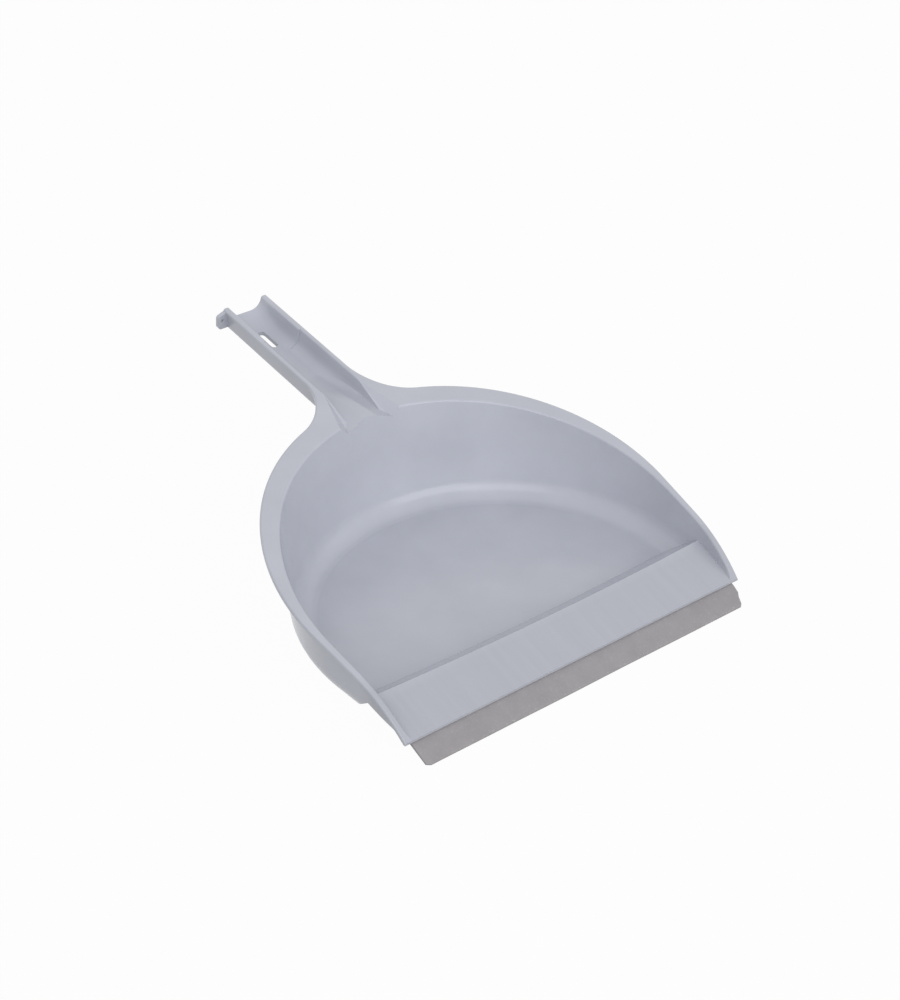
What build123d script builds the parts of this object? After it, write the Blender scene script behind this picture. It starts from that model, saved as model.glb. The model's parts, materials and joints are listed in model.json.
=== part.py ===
"""Dustpan: a one-piece moulded pan with a trough handle, and a rubber lip slid into a rail under its front edge.

Sizes are millimetres. The model is drawn with the front edge of the nose at y = 0, the handle towards +Y and the
floor at z = 0. At the end it is moved so that the origin is the middle of its footprint on the floor.
"""

import os
from math import acos, atan, atan2, cos, degrees, hypot, radians, sin, tan

from build123d import *

# Overall sizes, seen from above
front_width = 220.0
pan_length = 193.3
handle_length = 108.7

# Rim, seen from above: a round back and two sides that draw in to the nose
rim_bulge = 6.3
flange_thickness = 2.4
flange_round = 1.1
neck_fillet = 36.0
rim_radius = front_width / 2 + rim_bulge
rim_center = pan_length - rim_radius

# Rim, seen from the side: a straight slope that bends down to the nose, then the flatter handle
rim_slope = 0.24
rim_base_height = 20.0
rim_bend_start = 38.0
handle_turn_setback = 14.7
handle_turn_radius = 150.0
handle_angle = 7.2
handle_turn = pan_length + handle_turn_setback

# Well: the inside of the tray. Its mouth lies inside the rim, and its floor inside the mouth
wall = 2.2
floor_thickness = 2.5
mouth_height = 64.8
flange_side = 2.3
flange_back = 12.8
draft_side = 5.6
draft_back = 11.5
side_taper = 2.6
floor_fillet = 12.0
base_fillet = 14.0
mouth_fillet = 1.3
mouth_radius = rim_radius - flange_side
mouth_center = pan_length - flange_back - mouth_radius
floor_radius = mouth_radius - draft_side
floor_center = mouth_center + mouth_radius - draft_back - floor_radius

# Ramp and nose
crest_y = 30.0
crest_bow = 3.0
crest_height = 16.8
crest_fall = 38.0
nose_top = 8.2
ramp_thickness = 2.2

# Handle trough
handle_width = 29.4
handle_depth = 14.3
handle_draft = 7.0
handle_round = 4.5
trough_floor = 2.3
trough_wall = 2.8
trough_round = 7.0
trough_edge = 1.2
end_depth = 7.5
end_rise = 20.0
halfway_rise = 0.25
pad_length = 39.0
pad_thickness = 0.8
pocket_start = 5.0
pocket_wall = 2.6
handle_end = pan_length + handle_length
trough_depth = handle_depth - trough_floor
pad_start = handle_end - pad_length

# Chute, where the trough floor rolls over into the back wall
chute_radius = 8.0
chute_fall = 62.0
chute_setback = 1.8

# Neck, where the trough runs into the back wall
neck_front_inset = 25.3
neck_front_flare = 0.3
neck_tip_reach = 12.7
neck_tip_inset = 2.9
neck_slope = 24.0
neck_lean = 45.0
neck_front_y = pan_length - neck_front_inset
neck_front_width = handle_width + 2 * neck_front_flare
neck_tip_y = pan_length + neck_tip_reach
neck_tip_width = handle_width - 2 * neck_tip_inset

# Hanging slot in the trough floor
slot_width = 4.2
slot_length = 17.0
slot_from_end = 24.5
slot_center_y = handle_end - slot_from_end

# Lug on the handle's end
lug_reach = 5.0
lug_thickness = 2.6
lug_height = 11.5
lug_slope = 3.2
lug_dimple = 2.0
lug_dimple_depth = 1.0
lug_round = 2.0

# Rubber lip and its rail
bead_radius = 1.5
bead_y = 2.8
bead_drop = 1.7
bead_clearance = 0.08
rail_wall = 1.2
rail_inset = 6.0
jaw_setback = 1.2
lip_inset = 4.0
lip_reach = 12.5
lip_root = 1.5
lip_tip = 1.1
lip_up = 12.0
lip_down = 8.0
bead_z = nose_top - bead_drop
lip_length = front_width - 2 * lip_inset

# Reach of cutting solids past the part, and the hair by which an edge rounding starts over the surface
past = 30.0
edge_lift = 0.02
sky = 140.0


def plan_outline(radius, center, taper, front):
    """A round-backed outline whose straight sides draw in towards the nose by a taper in degrees."""
    lean = radians(taper)
    side = (radius * cos(lean), center - radius * sin(lean))
    corner = radius / cos(lean) - (center - front) * tan(lean)
    edges = [
        Line((-corner, front), (corner, front)),
        Line((corner, front), side),
        ThreePointArc(side, (0, center + radius), (-side[0], side[1])),
        Line((-side[0], side[1]), (-corner, front)),
    ]
    return make_face(edges)


def rim_taper():
    """The angle at which the rim's sides draw in, so that they meet the corners of the nose."""
    half = front_width / 2
    return degrees(atan2(rim_center, half) - acos(rim_radius / hypot(rim_center, half)))


def rim_height(y):
    return rim_base_height + rim_slope * y


def handle_height(y):
    return rim_height(handle_turn) + tan(radians(handle_angle)) * (y - handle_turn)


def well_section(z, grow):
    """Outline of the well at height z, grown outwards."""
    share = (z - floor_thickness) / (mouth_height - floor_thickness)
    radius = floor_radius + (mouth_radius - floor_radius) * share
    center = floor_center + (mouth_center - floor_center) * share
    return Pos(0, 0, z) * plan_outline(radius + grow, center, side_taper, -past)


def well(bottom, grow, edge_fillet):
    """The leaning, drafted body of the well, with its bottom edge rounded."""
    body = loft([well_section(bottom, grow), well_section(sky, grow)], ruled=True)
    rounded = body.edges().group_by(Axis.Z)[0].filter_by(lambda edge: edge.center().Y > -past + 1)
    return fillet(rounded, edge_fillet)


def across(face):
    """A side-view face, drawn as (y, z), made into a solid across the whole width."""
    return extrude(Plane.YZ * face, rim_radius + past, both=True)


def upright(face):
    """A plan face made into a solid from below the floor to above the handle."""
    return extrude(Pos(0, 0, -past) * face, sky + past)


def under_rim(drop):
    """Everything below the rim line, lowered by drop."""
    bend = (rim_bend_start, rim_height(rim_bend_start))
    turn = (handle_turn, rim_height(handle_turn))
    far = (handle_end + past, handle_height(handle_end + past))
    half_turn = (atan(rim_slope) - radians(handle_angle)) / 2
    reach = handle_turn_radius * tan(half_turn)
    before = (turn[0] - reach * cos(atan(rim_slope)), turn[1] - reach * sin(atan(rim_slope)))
    after = (turn[0] + reach * cos(radians(handle_angle)), turn[1] + reach * sin(radians(handle_angle)))
    nose = (0, nose_top)
    edges = [
        TangentArc(bend, nose, tangent=(-1, -rim_slope)),
        Line(bend, before),
        TangentArc(before, after, tangent=(1, rim_slope)),
        Line(after, far),
        Line(far, (far[0], -past)),
        Line((far[0], -past), (0, -past)),
        Line((0, -past), nose),
    ]
    return across(Pos(0, -drop) * make_face(edges))


def ramp_height(y):
    return nose_top + (crest_height - nose_top) * y / crest_y


def behind_crest(shift):
    """The space behind the bowed crest, over a slope that falls back to the floor, moved forwards by shift."""
    half = rim_radius + past
    bow = crest_bow * (half / (front_width / 2)) ** 2
    fall = radians(crest_fall)
    middle = crest_y - crest_bow - shift
    back = middle + 2 * handle_end
    edges = [
        ThreePointArc((-half, middle + bow), (0, middle), (half, middle + bow)),
        Line((half, middle + bow), (half, back)),
        Line((half, back), (-half, back)),
        Line((-half, back), (-half, middle + bow)),
    ]
    rise = sky - crest_height
    face = Pos(0, -rise / tan(fall), sky) * make_face(edges)
    return extrude(face, (sky + past) / sin(fall), dir=(0, cos(fall), -sin(fall)))


def rim_plan():
    """Outer edge of the rim and the handle, with the concave neck between them."""
    half = handle_width / 2
    strip = Pos(0, (rim_center + handle_end) / 2) * Rectangle(handle_width, handle_end - rim_center)
    plan = plan_outline(rim_radius, rim_center, rim_taper(), 0) + strip
    corner_y = rim_center + (rim_radius**2 - half**2) ** 0.5
    corners = plan.vertices().filter_by(lambda v: abs(v.Y - corner_y) < 0.01 and abs(abs(v.X) - half) < 0.01)
    return fillet(corners, neck_fillet)


def ramp_faces():
    """Side views of the space above the ramp and of the space below it."""
    run = crest_y + past
    above = Polygon(
        (-past, ramp_height(-past)), (run, ramp_height(run)), (run, sky), (-past, sky), align=None
    )
    drop = ramp_thickness
    below = Polygon(
        (-past, ramp_height(-past) - drop), (run, ramp_height(run) - drop), (run, -past), (-past, -past), align=None
    )
    return above, below


def rim_flange():
    """The outward lip of the tray, which runs on as the top edges of the handle, with a soft upper edge."""
    plate = (upright(rim_plan()) & under_rim(0)) - under_rim(flange_thickness)
    top = plate.faces().filter_by(lambda face: face.normal_at().Z > 0.5)
    outer = top.edges().filter_by(lambda edge: edge.center().Y > 1 and abs(edge.center().X) > 1)
    return fillet(outer, flange_round)


def tray():
    """Well, cheeks, ramp and rim flange."""
    above, below = ramp_faces()
    body = well(0, wall, base_fillet) & under_rim(0)
    body -= across(below) - behind_crest(wall / sin(radians(crest_fall)))
    body += rim_flange()
    inside = well(floor_thickness, 0, floor_fillet) & (behind_crest(0) + across(above))
    hollow = body - inside
    mouth = new_edges(body, inside, combined=hollow).filter_by(
        lambda edge: edge.center().Z > ramp_height(edge.center().Y) + 1 or edge.center().Y > crest_y
    )
    return fillet(mouth, mouth_fillet)


def handle_plane(y):
    """Square section plane of the handle, with its origin on the handle's top line."""
    lean = radians(handle_angle)
    return Plane(origin=(0, y, handle_height(y)), x_dir=(-1, 0, 0), z_dir=(0, cos(lean), sin(lean)))


def handle_section(width, depth, corner, rise):
    """U-shaped section that narrows downwards, from rise above the handle's top line to the depth below it."""
    half = width / 2
    drawn = tan(radians(handle_draft))
    outline = Polygon(
        (-half - rise * drawn, rise), (half + rise * drawn, rise), (half - depth * drawn, -depth),
        (-half + depth * drawn, -depth), align=None
    )
    return fillet(outline.vertices().group_by(Axis.Y)[0], corner)


def trough_section(depth, pad):
    """Section of the trough and the space over its walls, which it rounds. The pad thickens the walls."""
    half = handle_width / 2 - trough_wall - pad
    over = half + trough_edge + wall
    drawn = tan(radians(handle_draft))
    outline = Polygon(
        (-over, past), (over, past), (over, edge_lift), (half, edge_lift), (half - depth * drawn, -depth),
        (-half + depth * drawn, -depth), (-half, edge_lift), (-over, edge_lift), align=None
    )
    outline = fillet(outline.vertices().group_by(Axis.Y)[0], trough_round)
    return fillet(outline.vertices().filter_by(lambda v: abs(abs(v.X) - half) < edge_lift), trough_edge)


def along_handle(section, end, start):
    """A section run along the handle, from start to end measured along Y."""
    run = (end - start) / cos(radians(handle_angle))
    plane = handle_plane(start)
    return extrude(plane * section, run, dir=plane.z_dir)


def back_wall_y(z):
    """Where the inside of the back wall is on the middle plane, at height z."""
    share = (z - floor_thickness) / (mouth_height - floor_thickness)
    return floor_center + floor_radius + (mouth_center + mouth_radius - floor_center - floor_radius) * share


def chute_start():
    """Where the trough floor starts to roll over, measured along Y on the handle's top line."""
    lean = radians(handle_angle)
    floor_z = handle_height(back_wall_y(mouth_height)) - trough_depth / cos(lean)
    tangent = chute_radius * tan(radians(chute_fall - handle_angle) / 2)
    return back_wall_y(floor_z) + (chute_setback + tangent) * cos(lean) - trough_depth * sin(lean)


def over_the_chute(section, reach):
    """A section that rolls over from the handle's line to the chute's fall, and runs down it."""
    start = handle_plane(chute_start())
    turn = chute_fall - handle_angle
    depth = trough_depth + chute_radius
    axis = Axis(start.origin - start.y_dir * depth, (1, 0, 0))
    bend = revolve(start * section, axis, turn)
    last = (start * section).rotate(axis, turn)
    fall = radians(chute_fall)
    return bend + extrude(last, reach, dir=(0, -cos(fall), -sin(fall)))


def neck_wedge(grow):
    """The notch that the trough leaves in the rim: its floor falls into the tray and its sides lean outwards."""
    sections = []
    for y, width in ((neck_front_y, neck_front_width), (neck_tip_y + grow, neck_tip_width)):
        bottom = rim_height(neck_tip_y) - tan(radians(neck_slope)) * (neck_tip_y - y) - grow
        half = width / 2 + grow
        wide = half + past * tan(radians(neck_lean))
        top = bottom + past
        outline = Polygon((-half, bottom), (half, bottom), (wide, top), (-wide, top), align=None)
        sections.append(Plane(origin=(0, y, 0), x_dir=(1, 0, 0), z_dir=(0, -1, 0)) * outline)
    return loft(sections, ruled=True)


def rail():
    """The block under the nose, with a round groove for the bead and a flared mouth for the blade."""
    back = bead_y + bead_radius + bead_clearance + rail_wall
    bottom = bead_z - bead_radius - bead_clearance - rail_wall
    block = Polygon((0, bottom), (back, bottom), (back, ramp_height(back)), (0, nose_top), align=None)
    length = front_width - 2 * rail_inset
    return extrude(Plane.YZ * block, length / 2, both=True)


def lip_slopes():
    """Slopes in degrees of the blade's upper and lower faces."""
    run = bead_y + lip_reach
    upper = degrees(atan((bead_z + lip_root / 2 - lip_tip) / run))
    lower = degrees(atan((bead_z - lip_root / 2) / run))
    return upper, lower


def groove():
    """Round seat of the bead, with the mouth that lets the blade swing between its two limits."""
    upper, lower = lip_slopes()
    half = lip_root / 2 + bead_clearance
    reach = bead_y + past
    top = tan(radians(lip_up - upper))
    bottom = tan(radians(lip_down + lower))
    mouth = Polygon(
        (bead_y, bead_z + half), (bead_y - reach, bead_z + half + reach * top),
        (bead_y - reach, bead_z - half - reach * bottom), (bead_y, bead_z - half), align=None
    )
    seat = Pos(bead_y, bead_z) * Circle(bead_radius + bead_clearance)
    jaw = Polygon((-past, -past), (jaw_setback, -past), (jaw_setback, bead_z), (-past, bead_z), align=None)
    return across(mouth + seat + jaw)


def rubber_lip():
    """A bead with a tapering blade that reaches forward and down to the floor."""
    blade = Polygon(
        (bead_y, bead_z + lip_root / 2), (-lip_reach, lip_tip), (-lip_reach, 0), (bead_y, bead_z - lip_root / 2),
        align=None
    )
    section = blade + Pos(bead_y, bead_z) * Circle(bead_radius)
    return extrude(Plane.YZ * section, lip_length / 2, both=True)


def lug():
    """The outward return at the end of the handle's wall, on the -X side, with a small dimple in its front."""
    half = handle_width / 2
    outline = Polygon(
        (half - trough_wall, 0), (half + lug_reach, -lug_slope), (half + lug_reach, -lug_height),
        (half - trough_wall, -lug_height), align=None
    )
    outline = fillet(outline.vertices().sort_by(Axis.X)[-2:], lug_round)
    plate = along_handle(outline, handle_end, handle_end - lug_thickness)
    dimple_center = Pos(half + lug_reach / 2, -lug_height / 2)
    dimple = along_handle(
        dimple_center * Circle(lug_dimple / 2), handle_end - lug_thickness + lug_dimple_depth, handle_end - past
    )
    return plate - dimple


def handle_root():
    """The solid handle with its neck, kept clear of the tray's inside so that the soft mouth stays whole."""
    section = handle_section(handle_width, handle_depth, handle_round, -flange_thickness / 2)
    bar = along_handle(section, handle_end, chute_start()) + over_the_chute(section, handle_depth)
    neck = neck_wedge(wall) & under_rim(flange_thickness / 2)
    return bar + neck - well(floor_thickness, wall / 2, floor_fillet)


def end_pocket():
    """The hollow under the handle's end, which keeps the rising floor thin between the two walls."""
    start = handle_plane(handle_end - end_rise)
    side = Plane(origin=start.origin, x_dir=start.z_dir, z_dir=(1, 0, 0))
    reach = end_rise / cos(radians(handle_angle))
    top = end_depth + handle_depth - trough_depth
    slope = (handle_depth - top) / (reach - pocket_start)
    far = reach + past
    face = Polygon(
        (pocket_start, -handle_depth), (far, slope * past - top), (far, -handle_depth - past),
        (pocket_start, -handle_depth - past), align=None
    )
    width = handle_width - 2 * handle_depth * tan(radians(handle_draft)) - 2 * pocket_wall
    return extrude(side * face, width / 2, both=True)


def trough():
    """What is cut from the handle: the channel, its rising end, its chute, the neck's notch and the slot."""
    rise_start = handle_end - end_rise
    middle_depth = trough_depth - (trough_depth - end_depth) * halfway_rise
    deep = trough_section(trough_depth, 0)
    padded = trough_section(trough_depth, pad_thickness)
    shallow = trough_section(end_depth, pad_thickness)
    rising = loft([
        handle_plane(rise_start) * padded,
        handle_plane(rise_start + end_rise / 2) * trough_section(middle_depth, pad_thickness),
        handle_plane(handle_end) * shallow,
    ])
    channel = along_handle(deep, pad_start, chute_start()) + over_the_chute(deep, past)
    channel += along_handle(padded, rise_start, pad_start) + rising
    channel += along_handle(shallow, handle_end + past, handle_end)
    slot = Plane.XZ * SlotOverall(slot_length, slot_width, rotation=90)
    hole = extrude(handle_plane(slot_center_y) * slot, handle_depth + past, both=True)
    return channel + hole + neck_wedge(0) + end_pocket()


def pan():
    """The whole moulding."""
    body = tray() + handle_root() - trough()
    return body + lug() + rail() - groove()


def placed(piece):
    """Moves a piece so that the origin is the middle of the footprint."""
    handle_tip = handle_end + handle_depth * sin(radians(handle_angle))
    return Pos(0, (lip_reach - handle_tip) / 2, 0) * piece


os.makedirs("parts", exist_ok=True)
for name, piece in {"pan": pan(), "rubber_lip": rubber_lip()}.items():
    export_step(placed(piece), f"parts/{name}.step")
    print(name, "volume", round(piece.volume), "mm3, solids", len(piece.solids()))
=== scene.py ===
# %% [markdown]
# # A hand dustpan
#
# The dustpan is two pieces: one grey plastic moulding, which is the tray, its rim and the trough-shaped
# handle, and a strip of rubber along its front edge. The imported model already holds both at their real
# size, in metres, with the floor at z = 0, the handle towards +Y and the lip towards -Y. This lesson
# keeps the moulding as it is, gives it its finish and a small filling at its neck, and models the
# rubber strip anew.

# %% Load the imported model
import json
from math import asin, cos, degrees, radians, sin, tau

import bmesh
import bpy
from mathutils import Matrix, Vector, noise


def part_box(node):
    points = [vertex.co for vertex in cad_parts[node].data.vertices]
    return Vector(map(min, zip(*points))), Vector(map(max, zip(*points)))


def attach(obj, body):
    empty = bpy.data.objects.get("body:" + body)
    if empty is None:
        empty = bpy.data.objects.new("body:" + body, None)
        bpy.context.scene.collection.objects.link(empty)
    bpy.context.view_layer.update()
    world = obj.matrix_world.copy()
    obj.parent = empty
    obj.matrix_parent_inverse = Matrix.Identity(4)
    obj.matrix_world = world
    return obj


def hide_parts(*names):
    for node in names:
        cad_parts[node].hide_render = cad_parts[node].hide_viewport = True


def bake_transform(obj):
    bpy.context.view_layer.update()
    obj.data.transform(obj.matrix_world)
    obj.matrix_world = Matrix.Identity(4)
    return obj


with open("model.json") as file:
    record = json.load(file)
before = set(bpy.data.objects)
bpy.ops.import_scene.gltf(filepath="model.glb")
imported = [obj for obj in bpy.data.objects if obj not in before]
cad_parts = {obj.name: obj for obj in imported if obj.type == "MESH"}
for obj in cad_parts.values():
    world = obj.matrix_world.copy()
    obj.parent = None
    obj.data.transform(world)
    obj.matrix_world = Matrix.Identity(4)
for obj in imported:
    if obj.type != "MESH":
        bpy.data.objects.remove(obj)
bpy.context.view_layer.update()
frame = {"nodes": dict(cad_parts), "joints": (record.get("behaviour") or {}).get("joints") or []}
MM = 0.001

# %% [markdown]
# ## Camera
#
# The photograph looks down on the pan from its front left, from a little over a metre away. A camera
# can be posed by typing a place and three angles, but it is easier to think of a point that it looks
# at, a direction and a distance. The direction's azimuth is counted from the front and its elevation
# from the floor. The picture is taller than it is wide, so the sensor is fitted to its height.

# %% Place the camera
VIEW_AZIMUTH = radians(-37.7)
VIEW_ELEVATION = radians(33.7)
VIEW_DISTANCE = 1.142
VIEW_AIM = Vector((39.7, 13.05, 2.8)) * MM
LENS_LENGTH = 72.7
SENSOR_HEIGHT = 36.0


def direction(azimuth, elevation):
    """The unit vector that points from the object towards someone who stands there."""
    return Vector((sin(azimuth) * cos(elevation), -cos(azimuth) * cos(elevation), sin(elevation)))


def aimed(item, aim, towards, distance):
    """Puts a camera or a lamp at a distance from the point that it faces."""
    item.location = aim + towards * distance
    item.rotation_euler = towards.to_track_quat("Z", "Y").to_euler()
    bpy.context.scene.collection.objects.link(item)


camera_data = bpy.data.cameras.new("photo_camera")
camera_data.sensor_fit = "VERTICAL"
camera_data.sensor_height = SENSOR_HEIGHT
camera_data.lens = LENS_LENGTH
camera = bpy.data.objects.new("photo_camera", camera_data)
aimed(camera, VIEW_AIM, direction(VIEW_AZIMUTH, VIEW_ELEVATION), VIEW_DISTANCE)
bpy.context.scene.camera = camera
print("camera at", [round(v, 3) for v in camera.location])

# %% [markdown]
# ## Colours
#
# A colour that is read off a screen is not the number that a shader wants: screens store colours on a
# curve, and Blender mixes light in plain, linear amounts. One small function turns a screen colour into
# a shader colour. The curve is straight near black and a power above that.

# %% Screen colours
SCREEN_WHITE = 255
STRAIGHT_BELOW = 0.04045
STRAIGHT_SLOPE = 12.92
CURVE_SHIFT = 0.055
CURVE_POWER = 2.4


def linear_part(part):
    """One part of a screen colour as a linear amount of light."""
    share = part / SCREEN_WHITE
    if share <= STRAIGHT_BELOW:
        return share / STRAIGHT_SLOPE
    return ((share + CURVE_SHIFT) / (1 + CURVE_SHIFT)) ** CURVE_POWER


def screen_color(red, green, blue):
    """A colour given as it looks on a screen, from 0 to 255, as the shader's linear colour."""
    return (linear_part(red), linear_part(green), linear_part(blue), 1.0)


print("a screen's middle grey is", round(linear_part(SCREEN_WHITE / 2), 3), "of its white's light")

# %% [markdown]
# ## Nodes
#
# Materials could be wired up by hand in the editor. In a script, a few helpers keep them readable: one
# adds a node and fills in its sockets, and the others are the steps that the finishes below share. So a
# material reads as a list of what it is made of.

# %% Helpers for materials
WHOLE = (0.0, 1.0)
# A Mix node has sockets for every kind of value. These are the numbers of those for colours.
MIX_COLORS = (6, 7)
MIX_RESULT = 2


def new_material(name):
    """An empty material with its node tree and its principled shader."""
    material = bpy.data.materials.new(name)
    material.use_nodes = True
    return material, material.node_tree, material.node_tree.nodes["Principled BSDF"]


def feed(tree, socket, value):
    """Gives an input socket a plain value, or links another socket to it."""
    if isinstance(value, bpy.types.NodeSocket):
        tree.links.new(value, socket)
    else:
        socket.default_value = value


def add(tree, kind, settings=None, **sockets):
    """Adds a node. Settings are the node's own fields, and sockets are its inputs."""
    node = tree.nodes.new(kind)
    for field, value in (settings or {}).items():
        setattr(node, field, value)
    for name, value in sockets.items():
        feed(tree, node.inputs[name.replace("_", " ")], value)
    return node


def combined(tree, operation, first, *others):
    """Adds, multiplies or compares values, one after the other."""
    total = first
    for other in others:
        node = add(tree, "ShaderNodeMath", {"operation": operation})
        feed(tree, node.inputs[0], total)
        feed(tree, node.inputs[1], other)
        total = node.outputs["Value"]
    return total


def remap(tree, value, span, to=WHOLE):
    """Maps a value from one span to another, and keeps it inside."""
    node = add(tree, "ShaderNodeMapRange", Value=value)
    for name, limit in zip(("From Min", "From Max", "To Min", "To Max"), (*span, *to)):
        node.inputs[name].default_value = limit
    return node.outputs["Result"]


def mixed(tree, share, first, second):
    """Mixes two colours. Each is a colour or a socket."""
    node = add(tree, "ShaderNodeMix", {"data_type": "RGBA"}, Factor=share)
    for number, color in zip(MIX_COLORS, (first, second)):
        feed(tree, node.inputs[number], color)
    return node.outputs[MIX_RESULT]


# %% [markdown]
# The patterns read where a point is on the object, so they keep their place and their true scale. Marks
# that run one way, such as scratches, are noise that is stretched. A fine grain is too small to model,
# so it only tilts the surface for the light, as a bump.

# %% Helpers for patterns
GRAIN_HEIGHT = 0.2 * MM


def object_place(tree):
    """Where a point is on the object, in metres."""
    return add(tree, "ShaderNodeTexCoord").outputs["Object"]


def stretched(tree, scale, turn=0.0):
    """The same place, turned about Z and then stretched, for marks that run one way."""
    place = object_place(tree)
    node = add(tree, "ShaderNodeMapping", Vector=place, Rotation=(0, 0, turn), Scale=scale)
    return node.outputs["Vector"]


def speckle(tree, place, scale=1.0, detail=2.0, roughness=0.5):
    """A noise pattern's value. The scale is about the number of spots in a metre."""
    node = add(tree, "ShaderNodeTexNoise", Vector=place, Scale=scale, Detail=detail, Roughness=roughness)
    return node.outputs["Fac"]


def grain_bump(tree, shader, scale, strength):
    """Lays a fine grain over a surface, as a mould leaves it."""
    height = speckle(tree, object_place(tree), scale)
    bump = add(tree, "ShaderNodeBump", Strength=strength, Distance=GRAIN_HEIGHT, Height=height)
    feed(tree, shader.inputs["Normal"], bump.outputs["Normal"])


# %% [markdown]
# ## Floor and world
#
# The photograph has a white sweep and soft light from all round, so the pan has hardly any shadow. The
# floor here is a pale plane. To the eye it is mixed with a plain white glow, which keeps it near white
# without throwing more light on the plastic, and a trace of the soft shadow still shows. The world does
# the same: it is white to look at, and it lights the pan only moderately. The Light Path node tells the
# rays that are seen, straight or mirrored, from the rays that only light things.

# %% Floor and world
FLOOR_SIDE = 8.0
FLOOR_COLOR = screen_color(172, 172, 174)
FLOOR_ROUGHNESS = 0.9
FLOOR_GLOW = 0.97
WORLD_LIGHT = 0.72
WHITE = (1.0, 1.0, 1.0, 1.0)


def seen_by_eye(tree):
    """One for the rays that a viewer sees, and nought for the rays that only light things."""
    path = add(tree, "ShaderNodeLightPath").outputs
    return combined(tree, "MAXIMUM", path["Is Camera Ray"], path["Is Glossy Ray"])


def pale_sweep():
    """A matte material that looks nearly white and keeps a soft shadow."""
    material, tree, shader = new_material("pale_sweep")
    shader.inputs["Base Color"].default_value = FLOOR_COLOR
    shader.inputs["Roughness"].default_value = FLOOR_ROUGHNESS
    glow = add(tree, "ShaderNodeEmission", Color=WHITE, Strength=1.0)
    share = combined(tree, "MULTIPLY", seen_by_eye(tree), FLOOR_GLOW)
    mix = add(tree, "ShaderNodeMixShader", Fac=share)
    feed(tree, mix.inputs[1], shader.outputs["BSDF"])
    feed(tree, mix.inputs[2], glow.outputs["Emission"])
    feed(tree, tree.nodes["Material Output"].inputs["Surface"], mix.outputs["Shader"])
    return material


def pale_floor():
    """A plain square under the pan."""
    shape = bmesh.new()
    bmesh.ops.create_grid(shape, x_segments=1, y_segments=1, size=FLOOR_SIDE / 2)
    mesh = bpy.data.meshes.new("studio_floor")
    shape.to_mesh(mesh)
    shape.free()
    mesh.materials.append(pale_sweep())
    floor = bpy.data.objects.new("studio_floor", mesh)
    bpy.context.scene.collection.objects.link(floor)


def white_world():
    """White to look at, and a moderate light from all round."""
    world = bpy.data.worlds.new("studio")
    world.use_nodes = True
    tree = world.node_tree
    background = tree.nodes["Background"]
    background.inputs["Color"].default_value = WHITE
    feed(tree, background.inputs["Strength"], remap(tree, seen_by_eye(tree), WHOLE, (WORLD_LIGHT, 1.0)))
    bpy.context.scene.world = world


pale_floor()
white_world()
bpy.context.scene.view_settings.view_transform = "Standard"
print("the floor is", FLOOR_SIDE, "m wide, and the world's light is", WORLD_LIGHT)

# %% [markdown]
# ## Lamps
#
# In the photograph the edge between the rim and the back wall has its glint a little right of the
# middle. Only a lamp low in front can make it there, so the key lamp stands low in front. A weaker lamp
# behind the camera opens the shade on the walls that face left. Both are far away, so that they light
# the ramp no more than the back wall, and wide, so that the smooth plastic mirrors them as soft sheens.

# %% Lamps
LAMP_DISTANCE = 4.0
KEY_SIDE = 2.8
KEY_POWER = 44.0
KEY_FROM = direction(radians(2), radians(22))
FILL_SIDE = 2.8
FILL_POWER = 33.0
FILL_FROM = direction(radians(-38), radians(38))


def lamp(name, side, power, towards):
    """A square soft lamp that faces the pan."""
    light = bpy.data.lights.new(name, "AREA")
    light.shape = "SQUARE"
    light.size = side
    light.energy = power
    aimed(bpy.data.objects.new(name, light), Vector(), towards, LAMP_DISTANCE)


lamp("key_lamp", KEY_SIDE, KEY_POWER, KEY_FROM)
lamp("fill_lamp", FILL_SIDE, FILL_POWER, FILL_FROM)
print("two lamps,", KEY_POWER, "and", FILL_POWER, "W")

# %% [markdown]
# ## Grey plastic
#
# The moulding is a light, slightly blue grey polypropylene: smooth but not polished, so it mirrors its
# surroundings as soft smears. Close up, such plastic is never one colour. It has faint clouds where it
# flowed and cooled, a fine grain from the mould, and hairline scuffs where it was handled. The front,
# over which grit is swept, is rubbed a little duller, in streaks that run the way of the broom, and the
# same streaks paint its colour a little darker: that darker colour is painted shade, for the light that
# the ramp lacks. All of these come from noise on the object's own coordinates, so the pattern stays on
# the part and has a true scale: the clouds are centimetres wide and the grain is a third of a millimetre.

# %% Grey plastic of the moulding
PLASTIC_COLOR = screen_color(186, 189, 199)
PLASTIC_DARK = screen_color(180, 183, 193)
# Painted shade: the ramp's darker colour stands in for the light that it lacks.
PLASTIC_PAINTED_SHADE = screen_color(172, 175, 184)
PLASTIC_ROUGHNESS = (0.18, 0.22)
PLASTIC_IOR = 1.49
CLOUD_SCALE = 28.0
CLOUD_SPAN = (0.3, 0.7)
PLASTIC_GRAIN_SCALE = 2800.0
PLASTIC_GRAIN = 0.05
SCUFF_STRETCH = (900.0, 26.0, 26.0)
SCUFF_TURN = radians(12)
SCUFF_SPAN = (0.62, 0.74)
SCUFF_DULLNESS = 0.02
STREAK_STRETCH = (260.0, 18.0, 18.0)
STREAK_SPAN = (0.3, 0.7)
STREAK_SHARE = (0.78, 1.0)
WORN_DULLNESS = 0.02
# The ramp's mask carries both the painted shade in its colour and the real wear in its roughness.
FULL_SHADE_AND_WEAR_UNTIL = 24 * MM
SHADE_AND_WEAR_UNTIL = 36 * MM
nose_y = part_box("pan")[0].y


def shaded_and_rubbed(tree):
    """Painted shade for the colour and wear for the roughness: full on the ramp, in streaks, none behind
    it.
    """
    streak = speckle(tree, stretched(tree, STREAK_STRETCH), detail=3.0)
    back = add(tree, "ShaderNodeSeparateXYZ", Vector=object_place(tree)).outputs["Y"]
    front = remap(tree, back, (nose_y + FULL_SHADE_AND_WEAR_UNTIL, nose_y + SHADE_AND_WEAR_UNTIL), (1.0, 0.0))
    return combined(tree, "MULTIPLY", front, remap(tree, streak, STREAK_SPAN, STREAK_SHARE))


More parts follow.
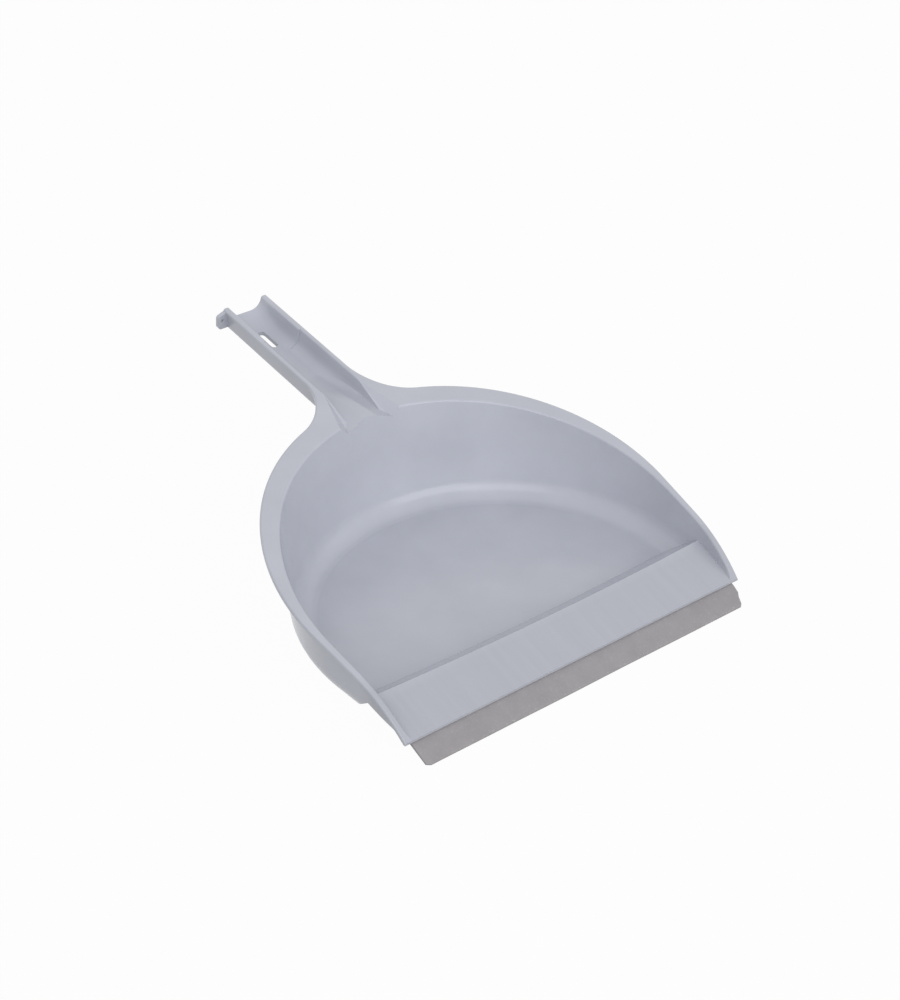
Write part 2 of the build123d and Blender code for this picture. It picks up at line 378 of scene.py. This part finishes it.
def grey_plastic():
    """The moulding's finish."""
    material, tree, shader = new_material("grey_plastic")
    cloud = speckle(tree, object_place(tree), CLOUD_SCALE, detail=3.0, roughness=0.55)
    clouds = remap(tree, cloud, CLOUD_SPAN)
    scuff = speckle(tree, stretched(tree, SCUFF_STRETCH, SCUFF_TURN), detail=3.0, roughness=0.6)
    worn = shaded_and_rubbed(tree)
    fresh = mixed(tree, clouds, PLASTIC_DARK, PLASTIC_COLOR)
    # The worn share darkens the colour as painted shade, and dulls the roughness below as wear.
    feed(tree, shader.inputs["Base Color"], mixed(tree, worn, fresh, PLASTIC_PAINTED_SHADE))
    smooth = remap(tree, clouds, WHOLE, PLASTIC_ROUGHNESS)
    scuffed = remap(tree, scuff, SCUFF_SPAN, (0.0, SCUFF_DULLNESS))
    dulled = remap(tree, worn, WHOLE, (0.0, WORN_DULLNESS))
    feed(tree, shader.inputs["Roughness"], combined(tree, "ADD", smooth, scuffed, dulled))
    grain_bump(tree, shader, PLASTIC_GRAIN_SCALE, PLASTIC_GRAIN)
    shader.inputs["IOR"].default_value = PLASTIC_IOR
    return material


plastic = grey_plastic()
pan = frame["nodes"]["pan"]
pan.material_slots[0].material = plastic
print("pan has", len(pan.data.polygons), "faces")

# %% [markdown]
# ## Neck
#
# Where the handle's trough runs into the tray, its floor climbs almost to the rim before it meets the
# back wall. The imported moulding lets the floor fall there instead, so a thin filling is laid into the
# trough's end. The filling is easiest to describe as a sheet with a width and a length. Along its
# length it takes the trough's rounded section, climbs, and ends as a floor with falling shoulders. Then
# it bends down along the back wall, which is part of a leaning cone. Its edges dive into the walls
# beside it, so that no seam shows. All sizes here are in millimetres, and lengths are counted from the
# nose's edge.

# %% Sizes of the trough, the tray's wall and the filling
# The trough: its floor's height at one place, its climb towards the handle's end, and its rounded corners
TROUGH_AT = 208.0
TROUGH_HEIGHT = 57.83
TROUGH_CLIMB = 0.1263
ROUND_RADIUS = 7.0
ROUND_FROM = 4.6
ROUND_MOST = 6.8
# The tray's inner wall: a leaning cone, with its radius and its centre at the bottom and at the rim
WELL_FLOOR = 2.5
WELL_RISE = 62.3
WELL_RADIUS = (108.4, 114.0)
WELL_CENTER = (60.6, 66.5)
# The filling: where it starts, how it climbs and falls, and how its borders flare and dive
MOUTH_HEIGHT = 61.0
FILLING_START = 240.0
FILLING_SINK = 0.15
FILLING_RISE = 8.45
FILLING_FOOT = 42.5
FILLING_HALF_WIDTH = 11.35
FILLING_FLARE = 5.0
FLARE_FROM = 0.86
SHOULDER_FROM = 3.0
SHOULDER_FALL = 0.38
FRONT_AHEAD = 0.12
DIVE_DEPTH = 0.27
DIVE_WIDTH = 2.4
DIVE_HEIGHT = 6.0
TOP_SHARE = 0.8


def trough_floor(y):
    """The height of the trough's floor."""
    return TROUGH_HEIGHT + TROUGH_CLIMB * (y - TROUGH_AT)


def back_wall(x, z):
    """How far back the tray's inner wall is, at a place across and a height."""
    share = (z - WELL_FLOOR) / WELL_RISE
    radius = WELL_RADIUS[0] + share * (WELL_RADIUS[1] - WELL_RADIUS[0])
    center = WELL_CENTER[0] + share * (WELL_CENTER[1] - WELL_CENTER[0])
    return center + (radius**2 - x**2) ** 0.5


def filling_top(x, y, share):
    """The filling's upper surface, from the trough's section to a floor with falling shoulders."""
    eased = share**2 * (3 - 2 * share)
    beside = min(max(0.0, abs(x) - ROUND_FROM), ROUND_MOST)
    rounding = ROUND_RADIUS - (ROUND_RADIUS**2 - beside**2) ** 0.5
    shoulder = SHOULDER_FALL * max(0.0, abs(x) - SHOULDER_FROM)
    return trough_floor(y) - FILLING_SINK + eased * (FILLING_RISE - shoulder) + (1 - eased) * rounding


def filling_front(x, z):
    """The filling's front: a hair ahead of the wall, and behind it at the sides and at the foot."""
    beside = (abs(x) - FILLING_HALF_WIDTH - FILLING_FLARE + DIVE_WIDTH) / DIVE_WIDTH
    below = (FILLING_FOOT + DIVE_HEIGHT - z) / DIVE_HEIGHT
    return back_wall(x, z) - FRONT_AHEAD + DIVE_DEPTH * max(0.0, beside, below)


def filling_point(across, along):
    """A place on the filling, from its shares of the width and of the way from the handle to the foot."""
    share = min(along / TOP_SHARE, 1.0)
    flare = FILLING_FLARE * max(0.0, share - FLARE_FROM) / (1 - FLARE_FROM)
    x = across * (FILLING_HALF_WIDTH + flare)
    y = FILLING_START + share * (filling_front(x, MOUTH_HEIGHT) - FILLING_START)
    z = filling_top(x, y, share)
    if along > TOP_SHARE:
        z += (along - TOP_SHARE) / (1 - TOP_SHARE) * (FILLING_FOOT - z)
        y = filling_front(x, z)
    return Vector((x, y, z)) * MM + Vector((0, nose_y, 0))


print("the filling climbs to", round(filling_top(0, back_wall(0, MOUTH_HEIGHT), 1), 1), "mm")

# %% [markdown]
# The sheet starts as a flat grid, two units wide and two long. Each of its points is moved to its place
# on the filling, and the solidify operator then gives the sheet a thickness, into the moulding, so that
# the shape is closed and has no loose border.

# %% Filling of the trough's end
FILLING_COLUMNS = 24
FILLING_ROWS = 45
FILLING_THICKNESS = 0.6 * MM
FILLING_SHARP = radians(50)


def finished(shape, name, sharp):
    """Turns a worked shape into a smooth mesh that keeps its sharp edges."""
    for face in shape.faces:
        face.smooth = True
    mesh = bpy.data.meshes.new(name)
    shape.to_mesh(mesh)
    shape.free()
    mesh.set_sharp_from_angle(angle=sharp)
    return mesh


def placed(mesh, material):
    """Puts a mesh into the scene under its own name."""
    mesh.materials.append(material)
    piece = bpy.data.objects.new(mesh.name, mesh)
    bpy.context.scene.collection.objects.link(piece)
    return piece


sheet = bmesh.new()
bmesh.ops.create_grid(sheet, x_segments=FILLING_COLUMNS, y_segments=FILLING_ROWS, size=1)
for vert in sheet.verts:
    vert.co = filling_point(vert.co.x, (vert.co.y + 1) / 2)
bmesh.ops.recalc_face_normals(sheet, faces=sheet.faces)
bmesh.ops.solidify(sheet, geom=sheet.faces[:], thickness=-FILLING_THICKNESS)
neck_filling = placed(finished(sheet, "neck_filling", FILLING_SHARP), plastic)
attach(neck_filling, "pan")
print("the filling has", len(neck_filling.data.polygons), "faces")

# %% [markdown]
# ## Rubber lip
#
# The lip is a cut length of extruded rubber: a round bead, which sits in the rail under the nose, and a
# thin blade that reaches forward and down to the floor. An extrusion is one section pulled along a
# line, so the section comes first. A single point spun about the bead's centre draws the bead, two more
# points draw the blade, and one face closes them. It is then extruded across the pan.

# %% Section of the lip, extruded across the pan
BEAD_RADIUS = 1.5 * MM
ROOT_THICKNESS = 1.5 * MM
TIP_THICKNESS = 1.1 * MM
BEAD_STEPS = 16
ACROSS = Vector((1, 0, 0))
lip_low, lip_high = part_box("rubber_lip")
lip_width = lip_high.x - lip_low.x
bead = Vector(frame["joints"][0]["pos_m"])
bead.x = lip_low.x
tip = Vector((lip_low.x, lip_low.y, TIP_THICKNESS / 2))
forward = (tip - bead).normalized()
upward = forward.cross(ACROSS)
blade_length = (tip - bead).length
blade_fall = degrees(asin(-forward.z))
print("the blade is", round(blade_length / MM, 1), "mm long and falls", round(blade_fall, 1), "degrees")


def lip_section(shape):
    """Draws the bead and the blade as one flat face at the strip's left end."""
    half_root = ROOT_THICKNESS / 2
    root = bead + forward * (BEAD_RADIUS**2 - half_root**2) ** 0.5
    first = shape.verts.new(root + upward * half_root)
    turn = tau - 2 * asin(half_root / BEAD_RADIUS)
    bmesh.ops.spin(shape, geom=[first], cent=bead, axis=ACROSS, angle=-turn, steps=BEAD_STEPS)
    for height in (0.0, TIP_THICKNESS):
        shape.verts.new((lip_low.x, lip_low.y, lip_low.z + height))
    return shape.faces.new([*shape.verts])


strip = bmesh.new()
flat = lip_section(strip)
pulled = bmesh.ops.extrude_face_region(strip, geom=[flat], use_keep_orig=True)["geom"]
far_end = [item for item in pulled if isinstance(item, bmesh.types.BMVert)]
bmesh.ops.translate(strip, verts=far_end, vec=ACROSS * lip_width)
print("the plain strip has", len(strip.faces), "faces")

# %% [markdown]
# The plain strip is one long block. Before it can bend or wear, it needs something to bend with, so its
# long faces are cut into columns across the pan and into rows along the blade. The two long edges of
# the tip get a small bevel, because rubber has no perfectly sharp edges.

# %% Columns, rows and rounded edges
COLUMN_CUTS = 70
ROW_STEP = 1.1 * MM
EDGE_ROUND = 0.22 * MM
EDGE_STEPS = 2
TIP_MARGIN = 0.01 * MM


def runs_across(edge):
    """Whether an edge runs along the strip, across the pan."""
    return abs((edge.verts[0].co - edge.verts[1].co).x) > BEAD_RADIUS


def at_tip(edge):
    """Whether an edge lies on the blade's front face."""
    return all(vert.co.y < lip_low.y + TIP_MARGIN for vert in edge.verts)


def cut_rows(shape):
    """Cuts the strip into columns along its length and rows along its blade."""
    long_edges = [edge for edge in shape.edges if runs_across(edge)]
    bmesh.ops.subdivide_edges(shape, edges=long_edges, cuts=COLUMN_CUTS, use_grid_fill=True)
    distance = 2 * BEAD_RADIUS
    while distance < blade_length - ROW_STEP / 2:
        place = bead + forward * distance
        everything = [*shape.verts, *shape.edges, *shape.faces]
        bmesh.ops.bisect_plane(shape, geom=everything, plane_co=place, plane_no=forward)
        distance += ROW_STEP


def round_edges(shape):
    """Takes the sharpness off the two long edges of the tip."""
    tip_edges = [edge for edge in shape.edges if at_tip(edge) and runs_across(edge)]
    bmesh.ops.bevel(
        shape,
        geom=tip_edges,
        offset=EDGE_ROUND,
        segments=EDGE_STEPS,
        profile=0.5,
        affect="EDGES",
        material=-1,
    )


cut_rows(strip)
round_edges(strip)
print("the cut strip has", len(strip.faces), "faces")

# %% [markdown]
# A ruler-straight strip would look wrong. Real strip is cut by hand and has been used: its front edge
# waves by a few tenths of a millimetre, its right front corner is torn at one place and worn off from
# there at a slant, and its left corner is clipped. Each end has a short list of pairs, in millimetres:
# a distance from the tip, and how far the end is worn back there. Every change pulls the blade in or
# lifts it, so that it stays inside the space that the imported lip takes.

# %% Worn ends and wavy edge
RIGHT_WEAR = ((12.5, 0.0), (7.4, 0.8), (6.4, 1.95), (1.2, 4.0), (0.0, 5.2))
LEFT_WEAR = ((1.0, 0.0), (0.0, 2.4))
WAVE_LENGTH = 45.0 * MM
WAVE_LIFT = 0.35 * MM
WAVE_PULL = 0.40 * MM
PULL_SHIFT = Vector((0, 7, 0))
LIP_SHARP = radians(38)


def reach_of(point):
    """How far along the blade a point is: nought at the bead's centre and one at the tip."""
    share = (point - bead).dot(forward) / blade_length
    return min(max(share, 0.0), 1.0)


def worn_back(pairs, from_tip):
    """How far an end is worn back, at a distance from the tip."""
    worn = 0.0
    for (far, less), (near, more) in zip(pairs, pairs[1:]):
        share = (far - from_tip / MM) / (far - near)
        worn += min(max(share, 0.0), 1.0) * (more - less)
    return worn * MM


def wave(place, height):
    """A slow wave that is never below nought."""
    return (1 + noise.noise(place)) / 2 * height


def wear(shape):
    """Pulls the worn ends back and waves the blade, more towards the tip."""
    for vert in shape.verts:
        reach = reach_of(vert.co)
        from_tip = blade_length * (1 - reach)
        across = (vert.co.x - lip_low.x) / lip_width
        place = Vector((vert.co.x / WAVE_LENGTH, 0, 0))
        vert.co.x += worn_back(LEFT_WEAR, from_tip) * (1 - across)
        vert.co.x -= worn_back(RIGHT_WEAR, from_tip) * across
        vert.co.y += wave(place + PULL_SHIFT, WAVE_PULL) * reach**2
        vert.co.z += wave(place, WAVE_LIFT) * reach**2


wear(strip)
bmesh.ops.recalc_face_normals(strip, faces=strip.faces)
reach_layer = strip.verts.layers.float.new("reach")
for vert in strip.verts:
    vert[reach_layer] = reach_of(vert.co)
lip_mesh = finished(strip, "rubber_strip", LIP_SHARP)
print("the worn strip has", len(lip_mesh.polygons), "faces")

# %% [markdown]
# ## Rubber
#
# The strip is a warm grey rubber, darker than the plastic and without shine. It is dusty: pale specks
# gather on the blade and above all along its front edge, which rubs on the floor. Fine scratches run
# across the blade, the way it is pushed. The mesh remembers in its reach attribute how far each point
# is from the bead, so the worn edge follows the strip also where it waves or bends.

# %% Rubber of the lip
RUBBER_COLOR = screen_color(153, 150, 153)
RUBBER_DARK = screen_color(146, 143, 146)
RUBBER_ROUGHNESS = (0.62, 0.74)
RUBBER_GRAIN_SCALE = 3500.0
RUBBER_GRAIN = 0.12
BLOTCH_SCALE = 90.0
BLOTCH_SPAN = (0.35, 0.65)
DUST_COLOR = screen_color(180, 177, 178)
SPECK_SCALE = 900.0
SPECK_SPAN = (0.58, 0.70)
DUSTY_EDGE = (0.90, 1.0)
DUST_SHARE = (0.25, 1.0)
SCRATCH_STRETCH = (1500.0, 60.0, 60.0)
SCRATCH_SPAN = (0.66, 0.76)
SCRATCH_SHARE = (0.0, 0.35)


def lip_rubber():
    """The strip's finish."""
    material, tree, shader = new_material("lip_rubber")
    place = object_place(tree)
    reach = add(tree, "ShaderNodeAttribute", {"attribute_name": "reach"}).outputs["Fac"]
    blotch = speckle(tree, place, BLOTCH_SCALE, detail=4.0, roughness=0.6)
    specks = remap(tree, speckle(tree, place, SPECK_SCALE), SPECK_SPAN)
    dust = combined(tree, "MULTIPLY", specks, remap(tree, reach, DUSTY_EDGE, DUST_SHARE))
    scratch = speckle(tree, stretched(tree, SCRATCH_STRETCH))
    body = mixed(tree, remap(tree, blotch, BLOTCH_SPAN), RUBBER_DARK, RUBBER_COLOR)
    dusty = mixed(tree, dust, body, DUST_COLOR)
    scratched = mixed(tree, remap(tree, scratch, SCRATCH_SPAN, SCRATCH_SHARE), dusty, DUST_COLOR)
    feed(tree, shader.inputs["Base Color"], scratched)
    feed(tree, shader.inputs["Roughness"], remap(tree, blotch, BLOTCH_SPAN, RUBBER_ROUGHNESS))
    grain_bump(tree, shader, RUBBER_GRAIN_SCALE, RUBBER_GRAIN)
    return material


rubber = lip_rubber()
print("the rubber has", len(rubber.node_tree.nodes), "nodes")

# %% [markdown]
# The strip stands for the imported lip, which is hidden.

# %% Put the lip in its place
rubber_strip = placed(lip_mesh, rubber)
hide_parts("rubber_lip")
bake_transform(rubber_strip)
